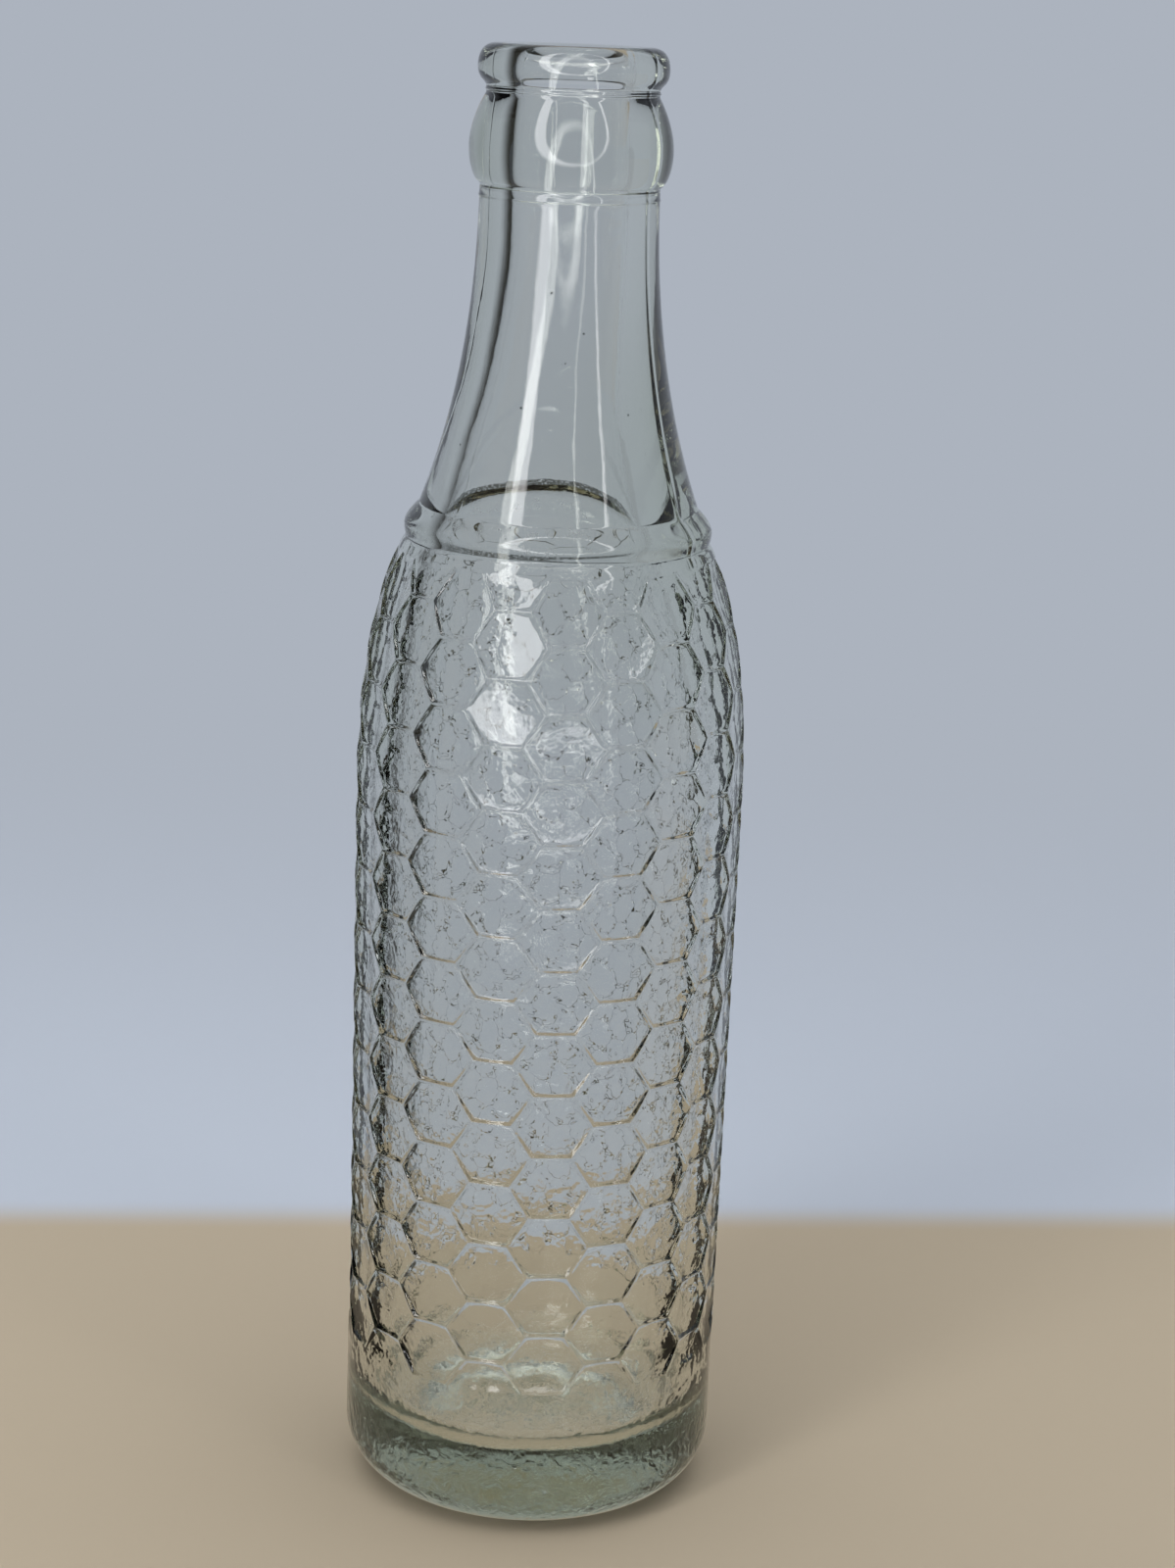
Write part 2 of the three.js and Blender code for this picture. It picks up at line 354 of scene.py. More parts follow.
def finish_outline():
    """Neck, collar, lip and mouth, from the ring up and over into the bore."""
    foot = (NECK_FOOT_RADIUS, NECK_SEAT)
    flare = (NECK_FOOT_RADIUS - FLARE_SLOPE * FLARE_REACH, NECK_SEAT + FLARE_REACH)
    seam_height = COLLAR_SEAT - NECK_SEAM_DROP
    neck_top = (NECK_RADIUS, COLLAR_SEAT)
    points = curve(foot, flare, (NECK_RADIUS, COLLAR_SEAT - NECK_EASE), neck_top, 44)
    points = [p for p in points if p[1] < seam_height - SEAM_HALF] + seam(seam_height, NECK_RADIUS)
    points += [(NECK_RADIUS, COLLAR_SEAT - 0.6), neck_top]
    belly = (COLLAR_RADIUS, COLLAR_SEAT + COLLAR_BELLY)
    groove = (GROOVE_RADIUS, LIP_SEAT - 0.3)
    under = (COLLAR_RADIUS, belly[1] - COLLAR_FULLNESS)
    over = (COLLAR_RADIUS, belly[1] + COLLAR_FULLNESS)
    points += curve(neck_top, (NECK_RADIUS + 1, COLLAR_SEAT + 0.5), under, belly, 14)
    points += curve(belly, over, (GROOVE_RADIUS + 1.2, groove[1] - 2.1), groove, 14)
    points += seam(LIP_SEAT + 0.2, GROOVE_RADIUS)
    bead = (LIP_RADIUS, LIP_SEAT + LIP_BELLY)
    land = (LAND_RADIUS, MOUTH_TOP)
    rounding = (LAND_RADIUS + 1.6, MOUTH_TOP - 0.1)
    points += curve(points[-1], (GROOVE_RADIUS, LIP_SEAT + 1.3), (LIP_RADIUS, bead[1] - 2), bead, 12)
    points += curve(bead, (LIP_RADIUS, bead[1] + 1.8), rounding, land, 12)
    inner_land = (MOUTH_RADIUS + MOUTH_ROUNDING, MOUTH_TOP)
    inner_edge = (MOUTH_RADIUS, MOUTH_TOP - MOUTH_ROUNDING)
    points += straight(land, inner_land, 2)
    inward = (MOUTH_RADIUS + 0.5, MOUTH_TOP)
    downward = (MOUTH_RADIUS, MOUTH_TOP - 0.5)
    return points + curve(inner_land, inward, downward, inner_edge, 8)


def bore_outline():
    """The inside, from the mouth down to the middle of the inside bottom."""
    neck_low = (RING_UPPER_RADIUS - RING_WALL, NECK_SEAT)
    ring_low = (RING_LOWER_RADIUS - RING_WALL, RING_SEAT)
    body_bore = BODY_RADIUS - BODY_WALL
    heel_bore = HEEL_RADIUS - BODY_WALL
    neck_top = (MOUTH_RADIUS, COLLAR_SEAT)
    flare = (neck_low[0] - BORE_SLOPE * BORE_REACH, NECK_SEAT + BORE_REACH)
    points = straight((MOUTH_RADIUS, MOUTH_TOP - MOUTH_ROUNDING), neck_top, 5)
    points += curve(neck_top, (MOUTH_RADIUS, COLLAR_SEAT - BORE_EASE), flare, neck_low, 24)
    points += straight(neck_low, ring_low, 3)
    sweep = [(body_bore, STRAIGHT_TOP)] + shoulder_sweep(body_bore, ring_low[0], 16)
    points += sweep[-2::-1]
    corner = (heel_bore, BASE_THICKNESS + INSIDE_CORNER)
    floor = (heel_bore - INSIDE_CORNER, BASE_THICKNESS)
    points += straight((body_bore, STRAIGHT_TOP), (heel_bore, HEEL_TOP), 24)
    points += straight((heel_bore, HEEL_TOP), corner, 3)
    bend = 0.45 * INSIDE_CORNER  # makes the corner nearly round
    down = (heel_bore, corner[1] - INSIDE_CORNER + bend)
    points += curve(corner, down, (floor[0] + bend, BASE_THICKNESS), floor, 10)
    crown = BASE_THICKNESS + INSIDE_CROWN
    middle = (0, crown)
    return points + curve(floor, (floor[0] * 0.6, BASE_THICKNESS), (floor[0] * 0.3, crown), middle, 10)


def heel_outline():
    """The heel and the underside, from the pattern down to the middle of the push-up."""
    bearing = HEEL_RADIUS - HEEL_ROUNDING
    hollow = bearing - BEARING_WIDTH
    ease = 0.552 * HEEL_ROUNDING  # makes the curve a quarter of a circle
    points = straight((HEEL_RADIUS, HEEL_TOP), (HEEL_RADIUS, HEEL_ROUNDING), 6)
    turn = (HEEL_RADIUS, HEEL_ROUNDING - ease)
    points += curve((HEEL_RADIUS, HEEL_ROUNDING), turn, (bearing + ease, 0), (bearing, 0), 14)
    points += straight((bearing, 0), (hollow, 0), 3)
    return points + curve((hollow, 0), (hollow - 1.5, 1.2), (hollow * 0.5, PUSH_UP), (0, PUSH_UP), 18)


def round_the_axis(edges):
    """The vertices of an open ring of edges, in order of their angle round the axis."""
    return sorted({v for e in edges for v in e.verts}, key=lambda v: math.atan2(v.co.y, v.co.x))


def even_ring(mesh, height):
    """Evens out the spacing of the points round an open ring, and gives back its edges."""
    ring = round_the_axis(open_edges(mesh, height - SEAT_MARGIN, height + SEAT_MARGIN))
    spacing = RING_STEP * min(v.co.xy.length for v in ring)
    bmesh.ops.remove_doubles(mesh, verts=ring, dist=spacing)
    edges = open_edges(mesh, height - SEAT_MARGIN, height + SEAT_MARGIN)
    ring = round_the_axis(edges)
    start = Vector((ring[0].co.x, ring[0].co.y))
    for place, vert in enumerate(ring):
        flat = Matrix.Rotation(2 * math.pi * place / len(ring), 2) @ start
        vert.co = (flat.x, flat.y, height)
    return edges


def sweep_on(mesh, loop, outline):
    """Extrudes a ring of edges along an outline of radius and height, and closes it on the axis."""
    first = outline[0][1]
    for radius, height in outline:
        made = bmesh.ops.extrude_edge_only(mesh, edges=loop)["geom"]
        moved = verts_of(made)
        kept = set(moved)
        loop = [e for e in made if isinstance(e, bmesh.types.BMEdge) and kept.issuperset(e.verts)]
        for vert in moved:
            flat = vert.co.xy.normalized() * max(radius, 0.001)
            vert.co = (flat.x, flat.y, height)
        if height == first:
            loop = even_ring(mesh, height)
    if radius < 0.001:
        bmesh.ops.pointmerge(mesh, verts=moved, merge_co=(0, 0, height))


def open_edges(mesh, low, high):
    """The open edges between two heights."""
    return [e for e in mesh.edges if e.is_boundary and all(low < v.co.z < high for v in e.verts)]


def mould_seams(mesh):
    """Two fine upright ridges where the halves of the mould met, on opposite sides."""
    across = Vector((math.cos(MOULD_SEAM_ANGLE), math.sin(MOULD_SEAM_ANGLE), 0))
    for offset in (-SEAM_HALF, SEAM_HALF, 0):
        everything = mesh.verts[:] + mesh.edges[:] + mesh.faces[:]
        cut = bmesh.ops.bisect_plane(
            mesh, geom=everything, dist=1e-4, plane_co=across * offset, plane_no=across
        )["geom_cut"]
    for vert in verts_of(cut):
        if vert.co.z > RING_SEAT:
            flat = vert.co.xy
            flat = flat * (1 + SEAM_STAND / flat.length)
            vert.co = (flat.x, flat.y, vert.co.z)


def uneven_underside(mesh):
    """The dappled underside that the mould's bottom plate left, with a stippled bearing ring."""
    bearing = HEEL_RADIUS - HEEL_ROUNDING
    for vert in mesh.verts:
        radius = vert.co.xy.length
        if vert.co.z < PUSH_UP + 0.1 and radius < bearing + 0.1:
            rise = UNDERSIDE_WAVE * abs(noise.noise(vert.co / UNDERSIDE_WAVE_LENGTH))
            vert.co.z += rise * min(1, (bearing + 0.1 - radius) / BEARING_WIDTH)


def uneven_inside(verts):
    """Slow waves in the blown inner wall, and the neck's bore a little off the axis."""
    for vert in verts:
        height = vert.co.z
        wave = INSIDE_WAVE * noise.noise(vert.co / INSIDE_WAVE_LENGTH)
        flat = vert.co.xy
        if flat.length > 1:
            flat = flat * (1 + wave / flat.length)
        end = DRIFT_TOP if height > DRIFT_FULL else DRIFT_END
        share = max(0, (end - height) / (end - DRIFT_FULL))
        drift = BORE_DRIFT * share * share * (3 - 2 * share)
        vert.co = (flat.x + drift, flat.y, height + wave)


def bottle():
    """The whole bottle as one closed skin of glass."""
    mesh = honeycomb()
    heel = open_edges(mesh, HEEL_TOP - SEAT_MARGIN, HEEL_TOP + SEAT_MARGIN)
    sweep_on(mesh, heel, heel_outline())
    uneven_underside(mesh)
    seat = open_edges(mesh, RING_SEAT - SEAT_MARGIN, RING_SEAT + SEAT_MARGIN)
    sweep_on(mesh, seat, ring_outline() + finish_outline())
    mould_seams(mesh)
    outside = set(mesh.verts)
    sweep_on(mesh, open_edges(mesh, LIP_SEAT, MOUTH_TOP), bore_outline())
    uneven_inside([v for v in mesh.verts if v not in outside])
    bmesh.ops.recalc_face_normals(mesh, faces=mesh.faces[:])
    bmesh.ops.scale(mesh, vec=(MM, MM, MM), verts=mesh.verts[:])
    return mesh


def mesh_piece(name, mesh, material):
    """A smooth-shaded object at the origin from a finished bmesh."""
    data = bpy.data.meshes.new(name)
    mesh.to_mesh(data)
    mesh.free()
    for face in data.polygons:
        face.use_smooth = True
    data.materials.append(material)
    piece = bpy.data.objects.new(name, data)
    bpy.context.scene.collection.objects.link(piece)
    return piece


# Glass, with the spacing and the depth of each mark on its skin in millimetres
GLASS_IOR = 1.52
GLASS_TINT = "#e4e8de"
GLASS_TINT_DENSITY = 70
GRIME_COLOUR = "#3f403c"
SLOW_RIPPLE = 6  # slow ripples of pressed glass
RIPPLE_DEPTH = 0.04
ORANGE_PEEL = 1.1  # grain of the pressed skin
PEEL_DEPTH = 0.05
WRINKLE = 4  # wrinkles that the blown inside kept where it chilled
WRINKLE_DEPTH = 0.2
STIPPLE = 2.2  # squiggles that the mould's bottom plate left
STIPPLE_DEPTH = 0.3
STRIA_WIDTH = 0.7  # upright drawing marks on the neck
STRIA_DEPTH = 0.006
STRIA_STRETCH = 0.03
SCUFF_SIZE = 1.4
SCUFF_FROM = 0.5  # shares of the noise at which a scuff begins and is full
SCUFF_TO = 0.66
SCUFF_ROUGHNESS = 0.35
UNDERSIDE_SHARE = 0.4  # of the scuffs' roughness
DIRT_GRAIN = 0.6
DIRT_FROM = 0.34
DIRT_TO = 0.48
SEED_SPACING = 5
SEED_SIZE = 0.02  # a share of the spacing
SEED_EDGE = 0.045  # where its soft edge ends


def height_band(tree, up, low, high, soft):
    """A mask over a stretch of height in millimetres, with soft ends."""
    rise = add_node(
        tree,
        "ShaderNodeMapRange",
        {"Value": up},
        {"From Min": (low - soft) * MM, "From Max": low * MM},
        interpolation_type="SMOOTHSTEP",
    )
    fall = add_node(
        tree,
        "ShaderNodeMapRange",
        {"Value": up},
        {"From Min": high * MM, "From Max": (high + soft) * MM, "To Min": 1, "To Max": 0},
        interpolation_type="SMOOTHSTEP",
    )
    both = add_node(
        tree,
        "ShaderNodeMath",
        {0: rise.outputs["Result"], 1: fall.outputs["Result"]},
        operation="MULTIPLY",
    )
    return both.outputs["Value"]


def glass_skin(tree, place, radius, up):
    """The normal of the skin.

    Slow ripples all over, orange peel and inner wrinkles on the body, a stippled foot and a drawn neck.
    """
    ripple = add_node(
        tree, "ShaderNodeTexNoise", {"Vector": place}, {"Scale": 1 / (SLOW_RIPPLE * MM), "Detail": 2}
    )
    peel = add_node(
        tree, "ShaderNodeTexNoise", {"Vector": place}, {"Scale": 1 / (ORANGE_PEEL * MM), "Detail": 1}
    )
    drawn = add_node(tree, "ShaderNodeMapping", {"Vector": place}, {"Scale": (1, 1, STRIA_STRETCH)})
    stria = add_node(
        tree,
        "ShaderNodeTexNoise",
        {"Vector": drawn.outputs["Vector"]},
        {"Scale": 1 / (STRIA_WIDTH * MM), "Detail": 1},
    )
    stipple = add_node(
        tree,
        "ShaderNodeTexNoise",
        {"Vector": place},
        {"Scale": 1 / (STIPPLE * MM), "Detail": 2, "Distortion": 1.2},
    )
    wrinkle = add_node(
        tree,
        "ShaderNodeTexNoise",
        {"Vector": place},
        {"Scale": 1 / (WRINKLE * MM), "Detail": 1, "Distortion": 1},
    )
    inner = BODY_RADIUS - BODY_WALL
    inside = add_node(
        tree,
        "ShaderNodeMapRange",
        {"Value": radius},
        {"From Min": (inner + 0.6) * MM, "From Max": (inner + 1.4) * MM, "To Min": 1, "To Max": 0},
    )
    blown = add_node(
        tree,
        "ShaderNodeMath",
        {0: inside.outputs["Result"], 1: height_band(tree, up, BASE_THICKNESS - 1, STRAIGHT_TOP + 8, 5)},
        operation="MULTIPLY",
    )
    body = height_band(tree, up, 0, RING_SEAT - 1, 2)
    foot = height_band(tree, up, -5, 11, 4)
    neck = height_band(tree, up, NECK_SEAT + 2, COLLAR_SEAT - 2, 2)
    slow = add_node(
        tree,
        "ShaderNodeBump",
        {"Height": ripple.outputs["Fac"]},
        {"Strength": 1, "Distance": RIPPLE_DEPTH * MM},
    )
    pressed = add_node(
        tree,
        "ShaderNodeBump",
        {"Height": peel.outputs["Fac"], "Strength": body, "Normal": slow.outputs["Normal"]},
        {"Distance": PEEL_DEPTH * MM},
    )
    chilled = add_node(
        tree,
        "ShaderNodeBump",
        {
            "Height": wrinkle.outputs["Fac"],
            "Strength": blown.outputs["Value"],
            "Normal": pressed.outputs["Normal"],
        },
        {"Distance": WRINKLE_DEPTH * MM},
    )
    stippled = add_node(
        tree,
        "ShaderNodeBump",
        {"Height": stipple.outputs["Fac"], "Strength": foot, "Normal": chilled.outputs["Normal"]},
        {"Distance": STIPPLE_DEPTH * MM},
    )
    return add_node(
        tree,
        "ShaderNodeBump",
        {"Height": stria.outputs["Fac"], "Strength": neck, "Normal": stippled.outputs["Normal"]},
        {"Distance": STRIA_DEPTH * MM},
    ).outputs["Normal"]


def wear(tree, place, radius, up):
    """How matt the skin is: scuffed along the ring's bead and the foot, and stippled underneath."""
    belly = RING_SEAT + BEAD_BELLY
    bead = height_band(tree, up, belly - 0.6, belly + 0.6, 0.6)
    foot = height_band(tree, up, -1, 1, 1.5)
    bearing = HEEL_RADIUS - HEEL_ROUNDING
    hollow = add_node(
        tree,
        "ShaderNodeMapRange",
        {"Value": radius},
        {"From Min": bearing * MM, "From Max": (bearing + 2) * MM, "To Min": 1, "To Max": 0},
    )
    stippled = add_node(
        tree,
        "ShaderNodeMath",
        {0: hollow.outputs["Result"], 1: height_band(tree, up, -1, PUSH_UP + 1, 1)},
        operation="MULTIPLY",
    )
    underside = add_node(
        tree,
        "ShaderNodeMath",
        {0: stippled.outputs["Value"]},
        {1: UNDERSIDE_SHARE},
        operation="MULTIPLY",
    )
    worn = add_node(tree, "ShaderNodeMath", {0: bead, 1: foot}, operation="MAXIMUM")
    rubs = add_node(
        tree,
        "ShaderNodeTexNoise",
        {"Vector": place},
        {"Scale": 1 / (SCUFF_SIZE * MM), "Detail": 4, "Roughness": 0.7},
    )
    patches = add_node(
        tree,
        "ShaderNodeMapRange",
        {"Value": rubs.outputs["Fac"]},
        {"From Min": SCUFF_FROM, "From Max": SCUFF_TO},
    )
    scuffs = add_node(
        tree,
        "ShaderNodeMath",
        {0: worn.outputs["Value"], 1: patches.outputs["Result"]},
        operation="MULTIPLY",
    )
    return add_node(
        tree,
        "ShaderNodeMath",
        {0: scuffs.outputs["Value"], 1: underside.outputs["Value"]},
        operation="MAXIMUM",
    ).outputs["Value"]


def grime(tree, place, radius, back, up):
    """Old dirt: grains caught in the crease above the ring, at the back, and a few seeds in the neck."""
    above = height_band(tree, up, RING_SEAT + BEAD_HIGH - 0.3, NECK_SEAT + 0.2, 0.2)
    rear = add_node(
        tree, "ShaderNodeMapRange", {"Value": back}, {"From Min": 1 * MM, "From Max": 7 * MM}
    ).outputs["Result"]
    streaks = add_node(tree, "ShaderNodeMapping", {"Vector": place}, {"Scale": (1, 1, 2.5)})
    grains = add_node(
        tree,
        "ShaderNodeTexNoise",
        {"Vector": streaks.outputs["Vector"]},
        {"Scale": 1 / (DIRT_GRAIN * MM), "Detail": 3, "Roughness": 0.7},
    )
    caught = add_node(
        tree,
        "ShaderNodeMapRange",
        {"Value": grains.outputs["Fac"]},
        {"From Min": DIRT_FROM, "From Max": DIRT_TO},
    )
    outer = add_node(
        tree,
        "ShaderNodeMapRange",
        {"Value": radius},
        {"From Min": (RING_UPPER_RADIUS - 3) * MM, "From Max": (RING_UPPER_RADIUS - 2) * MM},
    )
    behind = add_node(tree, "ShaderNodeMath", {0: rear, 1: outer.outputs["Result"]}, operation="MULTIPLY")
    crease = add_node(tree, "ShaderNodeMath", {0: above, 1: behind.outputs["Value"]}, operation="MULTIPLY")
    dirt = add_node(
        tree,
        "ShaderNodeMath",
        {0: crease.outputs["Value"], 1: caught.outputs["Result"]},
        operation="MULTIPLY",
    )
    seeds = add_node(
        tree, "ShaderNodeTexVoronoi", {"Vector": place}, {"Scale": 1 / (SEED_SPACING * MM)}
    )
    speck = add_node(
        tree,
        "ShaderNodeMapRange",
        {"Value": seeds.outputs["Distance"]},
        {"From Min": SEED_SIZE, "From Max": SEED_EDGE, "To Min": 1, "To Max": 0},
    )
    neck = height_band(tree, up, NECK_SEAT + 4, COLLAR_SEAT, 1)
    seed = add_node(tree, "ShaderNodeMath", {0: neck, 1: speck.outputs["Result"]}, operation="MULTIPLY")
    return add_node(
        tree, "ShaderNodeMath", {0: dirt.outputs["Value"], 1: seed.outputs["Value"]}, operation="MAXIMUM"
    ).outputs["Value"]


def soda_lime_glass():
    """Clear soda-lime glass, pressed and blown.

    To the eye it is a polished, faintly rippled skin, and a little green where it is thick.
    """
    material = bpy.data.materials.new("clear_soda_lime_glass")
    material.use_nodes = True
    tree = material.node_tree
    tree.nodes.clear()
    place = add_node(tree, "ShaderNodeTexCoord").outputs["Object"]
    _, back, up = add_node(tree, "ShaderNodeSeparateXYZ", {"Vector": place}).outputs
    level = add_node(tree, "ShaderNodeVectorMath", {0: place}, {1: (1, 1, 0)}, operation="MULTIPLY")
    distance = add_node(tree, "ShaderNodeVectorMath", {0: level.outputs["Vector"]}, operation="LENGTH")
    radius = distance.outputs["Value"]
    polish = add_node(
        tree,
        "ShaderNodeMapRange",
        {"Value": wear(tree, place, radius, up)},
        {"To Min": 0.0, "To Max": SCUFF_ROUGHNESS},
    )
    clean = add_node(
        tree,
        "ShaderNodeMix",
        {"Factor": grime(tree, place, radius, back, up)},
        {"A": (1, 1, 1, 1), "B": linear(GRIME_COLOUR)},
        data_type="RGBA",
    )
    glass = add_node(
        tree,
        "ShaderNodeBsdfPrincipled",
        {
            "Base Color": clean.outputs["Result"],
            "Roughness": polish.outputs["Result"],
            "Normal": glass_skin(tree, place, radius, up),
        },
        {"IOR": GLASS_IOR, "Transmission Weight": 1.0},
    )
    tint = add_node(
        tree,
        "ShaderNodeVolumeAbsorption",
        (),
        {"Color": linear(GLASS_TINT), "Density": GLASS_TINT_DENSITY},
    )
    add_node(
        tree,
        "ShaderNodeOutputMaterial",
        {"Surface": glass.outputs["BSDF"], "Volume": tint.outputs["Volume"]},
    )
    return material


# Paper stage, in metres
FLOOR_COLOUR = "#a79b88"
BACKDROP_COLOUR = "#acb3be"
# painted shade: the dark colour that the glass sees on the paper to the left and in front, in place of dark
# cards
PAINTED_SHADE_COLOUR = "#26241f"
PALE_SIDE = math.radians(37)  # bearing from the bottle, from +Y towards +X
PALE_EDGE = math.radians(71)  # how far to each side of that the paper stays pale
DARK_EDGE = math.radians(101)  # and where its painted shade is quite dark
COOL_FROM = 0.088  # behind the bottle, where the paper turns from warm to cool
COOL_TO = 0.102
PLAIN_FROM = 0.1  # behind the bottle, where the camera sees the paper in its plain colour
PLAIN_TO = 0.5
PAINTED_SHADE_FROM = 0.08  # from the bottle, where the painted shade, in place of dark cards, begins
PAINTED_SHADE_TO = 0.25
STAGE_LEFT = -1.5
STAGE_RIGHT = 1.8
STAGE_FRONT = -1.2
STAGE_BACK = 0.8
STAGE_BEND = 0.3
BEND_STEPS = 12
STAGE_HEIGHT = 1.4


def stage_paper():
    """Pale paper, warm grey under the bottle and cool behind it.

    The camera sees it lit near the bottle, with the bottle's shadow, and in its plain colour far behind.
    The glass shows its plain colour with painted shade to the left and in front, in place of dark cards,
    which draws the bottle's edges.
    """
    material = bpy.data.materials.new("pale_paper_with_painted_shade")
    material.use_nodes = True
    tree = material.node_tree
    tree.nodes.clear()
    place = add_node(tree, "ShaderNodeTexCoord").outputs["Object"]
    back = add_node(tree, "ShaderNodeSeparateXYZ", {"Vector": place}).outputs["Y"]
    cool = add_node(
        tree,
        "ShaderNodeMapRange",
        {"Value": back},
        {"From Min": COOL_FROM, "From Max": COOL_TO},
        interpolation_type="SMOOTHSTEP",
    )
    far = add_node(
        tree,
        "ShaderNodeMapRange",
        {"Value": back},
        {"From Min": PLAIN_FROM, "From Max": PLAIN_TO},
        interpolation_type="SMOOTHSTEP",
    )
    level = add_node(tree, "ShaderNodeVectorMath", {0: place}, {1: (1, 1, 0)}, operation="MULTIPLY")
    outward = add_node(tree, "ShaderNodeVectorMath", {0: level.outputs["Vector"]}, operation="NORMALIZE")
    toward = (math.sin(PALE_SIDE), math.cos(PALE_SIDE), 0)
    side = add_node(
        tree,
        "ShaderNodeVectorMath",
        {0: outward.outputs["Vector"]},
        {1: toward},
        operation="DOT_PRODUCT",
    )
    # painted shade: the paper that the glass sees darkens from the pale side round to the left and the
    # front
    dark = add_node(
        tree,
        "ShaderNodeMapRange",
        {"Value": side.outputs["Value"]},
        {"From Min": math.cos(DARK_EDGE), "From Max": math.cos(PALE_EDGE), "To Min": 1, "To Max": 0},
        interpolation_type="SMOOTHSTEP",
    )
    distance = add_node(tree, "ShaderNodeVectorMath", {0: level.outputs["Vector"]}, operation="LENGTH")
    away = add_node(
        tree,
        "ShaderNodeMapRange",
        {"Value": distance.outputs["Value"]},
        {"From Min": PAINTED_SHADE_FROM, "From Max": PAINTED_SHADE_TO},
    )
    painted_shade = add_node(
        tree,
        "ShaderNodeMath",
        {0: dark.outputs["Result"], 1: away.outputs["Result"]},
        operation="MULTIPLY",
    ).outputs["Value"]
    path = add_node(tree, "ShaderNodeLightPath").outputs
    glass = add_node(
        tree,
        "ShaderNodeMath",
        {0: path["Is Glossy Ray"], 1: path["Is Transmission Ray"]},
        operation="MAXIMUM",
    ).outputs["Value"]
    darkened = add_node(tree, "ShaderNodeMath", {0: painted_shade, 1: glass}, operation="MULTIPLY")
    paper = add_node(
        tree,
        "ShaderNodeMix",
        {"Factor": cool.outputs["Result"]},
        {"A": linear(FLOOR_COLOUR), "B": linear(BACKDROP_COLOUR)},
        data_type="RGBA",
    ).outputs["Result"]
    # painted shade mixed into the paper's colour, only for rays that come from the glass
    colour = add_node(
        tree,
        "ShaderNodeMix",
        {"Factor": darkened.outputs["Value"], "A": paper},
        {"B": linear(PAINTED_SHADE_COLOUR)},
        data_type="RGBA",
    ).outputs["Result"]
    behind = add_node(
        tree,
        "ShaderNodeMath",
        {0: path["Is Camera Ray"], 1: far.outputs["Result"]},
        operation="MULTIPLY",
    )
    share = add_node(
        tree, "ShaderNodeMath", {0: behind.outputs["Value"], 1: glass}, operation="MAXIMUM"
    ).outputs["Value"]
    lit = add_node(tree, "ShaderNodeBsdfDiffuse", {"Color": colour})
    plain = add_node(tree, "ShaderNodeEmission", {"Color": colour})
    mix = add_node(
        tree, "ShaderNodeMixShader", {0: share, 1: lit.outputs["BSDF"], 2: plain.outputs["Emission"]}
    )
    add_node(tree, "ShaderNodeOutputMaterial", {"Surface": mix.outputs["Shader"]})
    return material


def paper_stage():
    """A sheet of paper that lies under the bottle and curves up behind it."""
    sheet = bmesh.new()
    bend = [
        (STAGE_BACK - STAGE_BEND + STAGE_BEND * math.sin(a), STAGE_BEND - STAGE_BEND * math.cos(a))
        for a in [step / BEND_STEPS * math.pi / 2 for step in range(BEND_STEPS + 1)]
    ]
    outline = [(STAGE_FRONT, 0)] + bend + [(STAGE_BACK, STAGE_HEIGHT)]
    line = [sheet.verts.new((STAGE_LEFT, y, z)) for y, z in outline]
    edges = [sheet.edges.new(pair) for pair in zip(line, line[1:])]
    made = bmesh.ops.extrude_edge_only(sheet, edges=edges)["geom"]
    bmesh.ops.translate(sheet, vec=(STAGE_RIGHT - STAGE_LEFT, 0, 0), verts=verts_of(made))
    bmesh.ops.recalc_face_normals(sheet, faces=sheet.faces[:])
    floor = mesh_piece("paper_stage", sheet, stage_paper())


# An oval ring of soft light round the camera: the middles and half sizes of its outside and of its
# opening, across and up in metres at the camera's distance
LAMP_DISTANCE = 0.44
RING_OUTSIDE = ((0.0, 0.75), (0.46, 0.72))
RING_OPENING = ((0.058, 0.74), (0.35, 0.68))
OUTSIDE_SOFTNESS = 0.2
OPENING_SOFTNESS = 0.15
RING_SQUARENESS = 2.6
RING_RADIANCE = 6.5
CEILING_HEIGHT = 1.6
CEILING_SIZE = 2.2
CEILING_RADIANCE = 2.2
DIM_COLOUR = "#3c3e43"
PALE_COLOUR = "#a3a9b3"
DIM_FROM = -0.1  # cosines of the angle from the pale side at which the room is dim and is pale
PALE_FROM = 0.6


def lamp(name, size, radiance, place):
    """A rectangular lamp that the camera doesn't see."""
    data = bpy.data.lights.new(name, "AREA")
    data.shape = "RECTANGLE"
    data.size, data.size_y = size
    data.energy = radiance * math.pi * size[0] * size[1]
    made = bpy.data.objects.new(name, data)
    bpy.context.scene.collection.objects.link(made)
    made.visible_camera = False
    made.matrix_world = place
    return made


def within_oval(tree, place, middle, half, soft):
    """A mask that is 1 inside a squarish oval and fades out at its border."""
    offset = add_node(tree, "ShaderNodeVectorMath", {0: place}, {1: (*middle, 0)}, operation="SUBTRACT")
    shares = add_node(
        tree,
        "ShaderNodeVectorMath",
        {0: offset.outputs["Vector"]},
        {1: (*half, 1)},
        operation="DIVIDE",
    )
    sizes = add_node(tree, "ShaderNodeVectorMath", {0: shares.outputs["Vector"]}, operation="ABSOLUTE")
    across, up, _ = add_node(tree, "ShaderNodeSeparateXYZ", {"Vector": sizes.outputs["Vector"]}).outputs
    across = add_node(tree, "ShaderNodeMath", {0: across}, {1: RING_SQUARENESS}, operation="POWER")
    up = add_node(tree, "ShaderNodeMath", {0: up}, {1: RING_SQUARENESS}, operation="POWER")
    reach = add_node(
        tree, "ShaderNodeMath", {0: across.outputs["Value"], 1: up.outputs["Value"]}, operation="ADD"
    )
    return add_node(
        tree,
        "ShaderNodeMapRange",
        {"Value": reach.outputs["Value"]},
        {"From Min": 1 - soft, "From Max": 1, "To Min": 1, "To Max": 0},
        interpolation_type="SMOOTHSTEP",
    ).outputs["Result"]


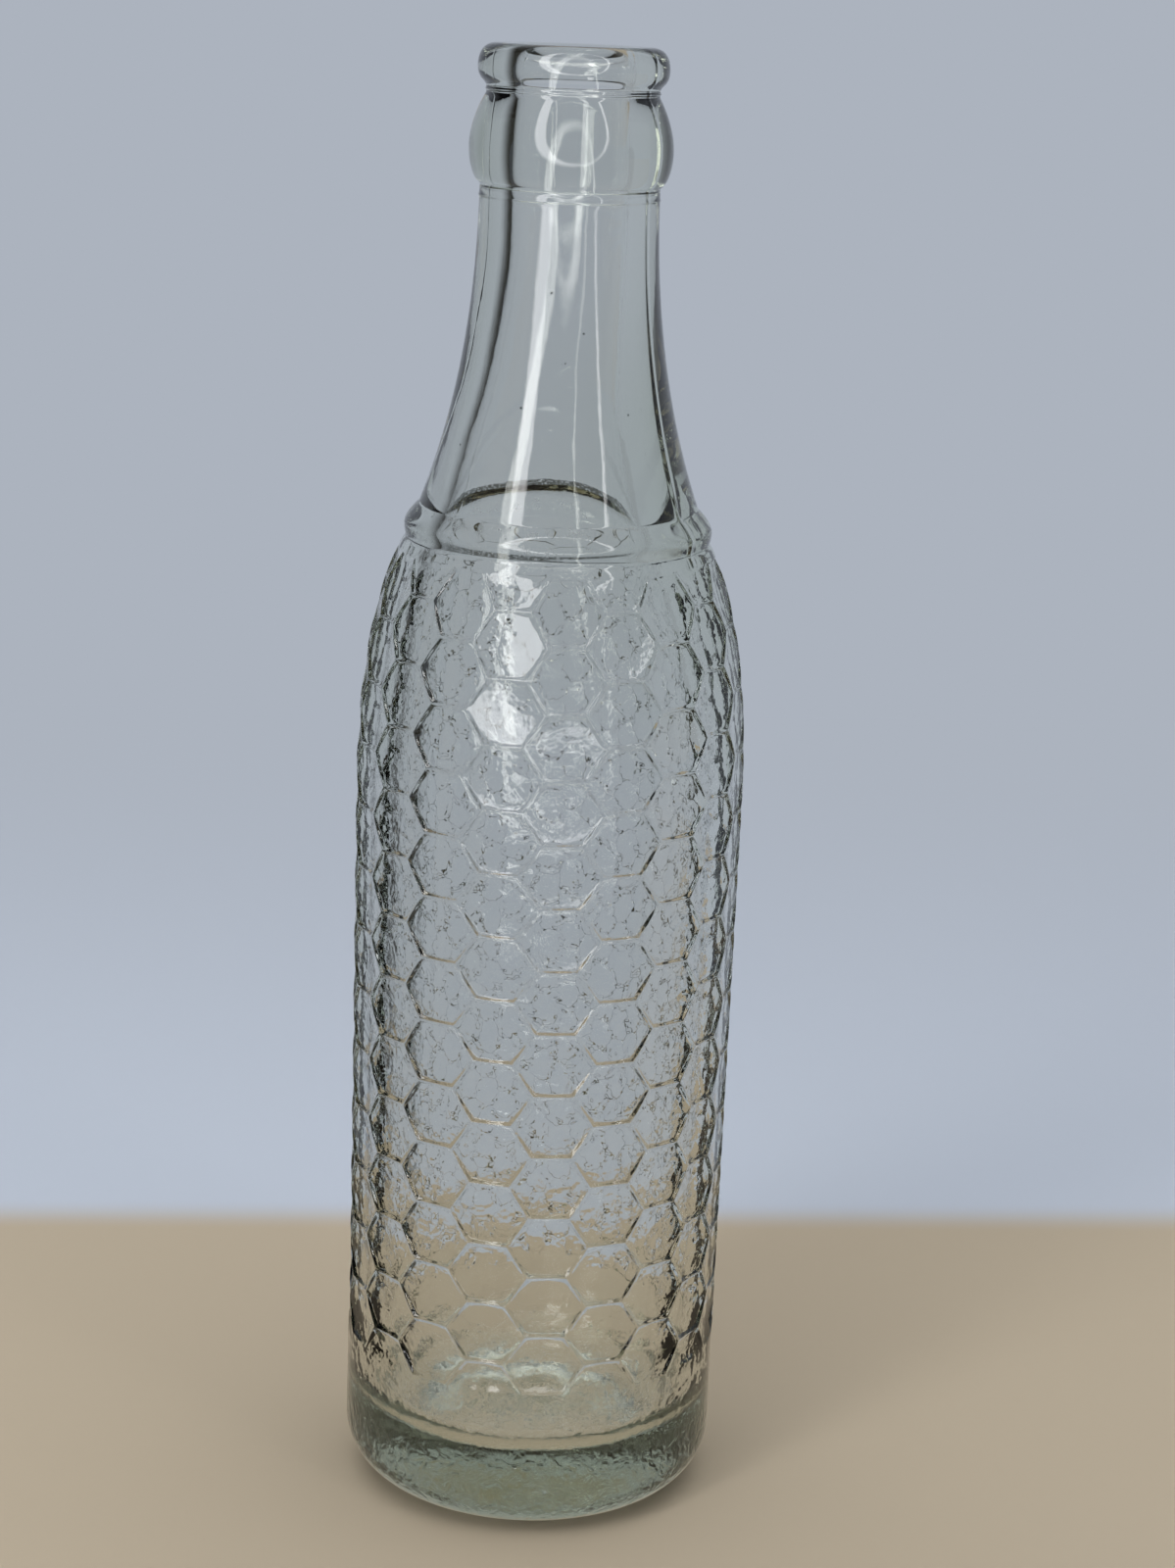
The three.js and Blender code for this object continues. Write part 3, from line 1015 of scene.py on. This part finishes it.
def ring_lamp():
    """The oval ring of light, wide on the left and thin on the right, facing the bottle."""
    (across, up), (half_width, half_height) = RING_OUTSIDE
    place = Matrix.Translation((across, -LAMP_DISTANCE, up)) @ Matrix.Rotation(math.pi / 2, 4, "X")
    place = Matrix.Rotation(CAMERA_AZIMUTH, 4, "Z") @ place
    ring = lamp("ring_lamp", (2 * half_width, 2 * half_height), RING_RADIANCE, place).data
    ring.use_nodes = True
    tree = ring.node_tree
    share = add_node(tree, "ShaderNodeNewGeometry").outputs["Parametric"]
    whole = (2 * half_width, 2 * half_height, 0)
    size = add_node(tree, "ShaderNodeVectorMath", {0: share}, {1: whole}, operation="MULTIPLY")
    corner = (across - half_width, up - half_height, 0)
    spot = add_node(tree, "ShaderNodeVectorMath", {0: size.outputs["Vector"]}, {1: corner}, operation="ADD")
    outside = within_oval(tree, spot.outputs["Vector"], *RING_OUTSIDE, OUTSIDE_SOFTNESS)
    opening = within_oval(tree, spot.outputs["Vector"], *RING_OPENING, OPENING_SOFTNESS)
    strength = add_node(
        tree, "ShaderNodeMath", {0: outside, 1: opening}, operation="SUBTRACT", use_clamp=True
    )
    tree.links.new(strength.outputs["Value"], tree.nodes["Emission"].inputs["Strength"])


def lighting():
    """The light ring, a wide soft lamp overhead without a reflection in the glass, and a quiet room.

    The room is pale behind to the right and dim elsewhere.
    """
    ring_lamp()
    overhead = Matrix.Translation((0, 0, CEILING_HEIGHT))
    ceiling = lamp("ceiling_lamp", (CEILING_SIZE, CEILING_SIZE), CEILING_RADIANCE, overhead)
    ceiling.visible_glossy = False
    world = bpy.data.worlds.new("quiet_room")
    bpy.context.scene.world = world
    world.use_nodes = True
    tree = world.node_tree
    outward = add_node(tree, "ShaderNodeTexCoord").outputs["Generated"]
    toward = (math.sin(PALE_SIDE), math.cos(PALE_SIDE), 0)
    side = add_node(tree, "ShaderNodeVectorMath", {0: outward}, {1: toward}, operation="DOT_PRODUCT")
    pale = add_node(
        tree,
        "ShaderNodeMapRange",
        {"Value": side.outputs["Value"]},
        {"From Min": DIM_FROM, "From Max": PALE_FROM},
        interpolation_type="SMOOTHSTEP",
    )
    room = add_node(
        tree,
        "ShaderNodeMix",
        {"Factor": pale.outputs["Result"]},
        {"A": linear(DIM_COLOUR), "B": linear(PALE_COLOUR)},
        data_type="RGBA",
    )
    tree.links.new(room.outputs["Result"], tree.nodes["Background"].inputs["Color"])


bpy.context.scene.view_settings.view_transform = "Standard"
photo_camera()
bottle_glass = mesh_piece("bottle_glass", bottle(), soda_lime_glass())
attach(bottle_glass, "root")
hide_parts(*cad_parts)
paper_stage()
lighting()
